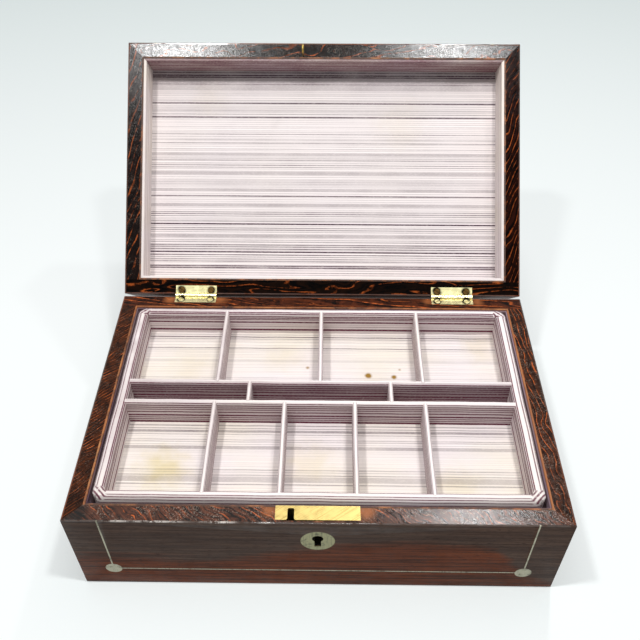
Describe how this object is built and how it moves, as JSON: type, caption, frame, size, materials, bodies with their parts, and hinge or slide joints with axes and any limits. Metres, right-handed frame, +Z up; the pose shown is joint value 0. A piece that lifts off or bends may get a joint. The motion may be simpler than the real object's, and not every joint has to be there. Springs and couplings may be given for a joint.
{
  "type": "compartmented keepsake box",
  "caption": "Hinged wooden box with inlaid front, brass butt hinges and box lock, a lid that turns back, and a lift-out papered tray of compartments.",
  "frame": {"origin": "middle of the underside of the body, on the surface that it stands on", "axes": "+X to the right seen from the front, -Y to the front with the keyhole, +Z up"},
  "size_m": [0.3, 0.358, 0.2121],
  "materials": {
    "rosewood_veneer": "satin lacquer",
    "rim_wood": "glossy crackled lacquer",
    "carcase_wood": "raw, oiled by age",
    "lining_paper": "printed paper, matt",
    "wall_paper": "printed paper, faded, matt",
    "tray_paper": "printed paper over wood, matt",
    "base_paper": "plain paper, matt",
    "inlay": "pale dyed inlay under lacquer",
    "brass": "worn, lightly tarnished",
    "screw_brass": "dark tarnish",
    "steel": "dull"
  },
  "bodies": {
    "body": {"base_board": "carcase_wood", "base_cover": "base_paper", "front_board": "carcase_wood", "back_board": "carcase_wood", "left_board": "carcase_wood", "right_board": "carcase_wood", "front_veneer": "rosewood_veneer", "back_veneer": "rosewood_veneer", "side_veneers": "rosewood_veneer", "front_rim": "rim_wood", "back_rim": "rim_wood", "left_rim": "rim_wood", "right_rim": "rim_wood", "tray_ledges": "wall_paper", "wall_lining": "wall_paper", "well_paper": "lining_paper", "front_stringing": "inlay", "front_roundels": "inlay", "escutcheon": "inlay", "lock_plate": "brass", "lock_case": "brass", "lock_drill_pin": "steel", "lock_spring": "steel", "lock_nails": "brass", "left_hinge_leaf": "brass", "right_hinge_leaf": "brass", "hinge_pins": "brass", "hinge_screws": "screw_brass"},
    "lid": {"lid_top_board": "carcase_wood", "lid_front_board": "carcase_wood", "lid_back_board": "carcase_wood", "lid_left_board": "carcase_wood", "lid_right_board": "carcase_wood", "lid_top_veneer": "rosewood_veneer", "lid_front_veneer": "rosewood_veneer", "lid_back_veneer": "rosewood_veneer", "lid_side_veneers": "rosewood_veneer", "lid_front_rim": "rim_wood", "lid_back_rim": "rim_wood", "lid_left_rim": "rim_wood", "lid_right_rim": "rim_wood", "lid_lining_strips": "lining_paper", "lid_panel": "lining_paper", "lid_stringing": "inlay", "lid_roundels": "inlay", "lock_staple": "brass", "left_lid_leaf": "brass", "right_lid_leaf": "brass", "lid_hinge_screws": "screw_brass"},
    "tray": {"tray_floor": "tray_paper", "tray_front_wall": "tray_paper", "tray_back_wall": "tray_paper", "tray_end_walls": "tray_paper", "tray_long_dividers": "tray_paper", "rear_dividers": "tray_paper", "narrow_dividers": "tray_paper", "front_dividers": "tray_paper"},
    "bolt": {"lock_bolt": "brass"}
  },
  "joints": [
    {"name": "lid_hinge", "type": "hinge", "parent": "body", "child": "lid", "pos_m": [0, 0.0975, 0.07415], "axis": [1, 0, 0], "range_deg": [0, 136]},
    {"name": "tray_lift", "type": "slide", "parent": "body", "child": "tray", "axis": [0, 0, 1], "range_m": [0, 0.015]},
    {"name": "lock_bolt_slide", "type": "slide", "parent": "body", "child": "bolt", "axis": [-1, 0, 0], "range_m": [0, 0.006]}
  ]
}
